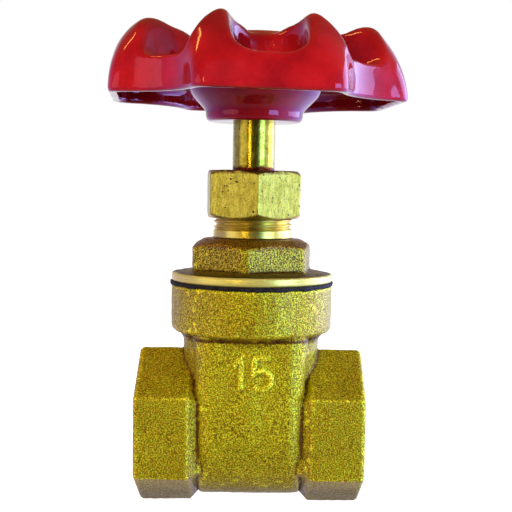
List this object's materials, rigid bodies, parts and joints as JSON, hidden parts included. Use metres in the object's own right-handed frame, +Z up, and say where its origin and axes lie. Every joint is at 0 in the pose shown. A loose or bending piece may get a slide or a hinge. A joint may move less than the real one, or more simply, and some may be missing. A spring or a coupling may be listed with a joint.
{
  "type": "gate valve",
  "caption": "Brass gate valve with female threaded hexagon ends, a screwed bonnet, a packed gland and a red lobed handwheel that lifts a wedge on a non-rising stem.",
  "frame": {"origin": "where the pipe axis crosses the stem axis, in the middle of the body", "axes": "+X along the pipe towards the outlet socket, +Z up the stem towards the handwheel, -Y the front of the valve"},
  "size_m": [0.0572, 0.0572, 0.0918],
  "materials": {
    "cast_brass": "sand cast, shot blasted, dull",
    "machined_brass": "turned, bright, fine tool marks",
    "red_enamel": "thick glossy red enamel over a casting",
    "gasket_fibre": "black compressed fibre, matt",
    "packing": "graphited braid, matt",
    "zinc_steel": "bright zinc plate"
  },
  "bodies": {
    "valve": {"body": "cast_brass", "bonnet": "cast_brass", "bonnet_gasket": "gasket_fibre", "stem_retainer": "machined_brass", "thrust_washer": "machined_brass", "packing_washer": "machined_brass", "packing_ring_lower": "packing", "packing_ring_middle": "packing", "packing_ring_upper": "packing", "gland_follower": "machined_brass", "gland_nut": "machined_brass"},
    "spindle": {"stem": "machined_brass", "handwheel": "red_enamel", "wheel_washer": "zinc_steel", "wheel_spring_washer": "zinc_steel", "wheel_nut": "zinc_steel"},
    "wedge": {"wedge": "machined_brass"}
  },
  "joints": [
    {"name": "handwheel_turn", "type": "hinge", "parent": "valve", "child": "spindle", "pos_m": [0, 0, 0], "axis": [0, 0, 1], "range_deg": [0, 2160]},
    {"name": "wedge_lift", "type": "slide", "parent": "valve", "child": "wedge", "axis": [0, 0, 1], "range_m": [0, 0.015]}
  ],
  "couplings": [
    {"joint": "wedge_lift", "follows": "handwheel_turn", "m_per_rad": 0.00039789}
  ]
}
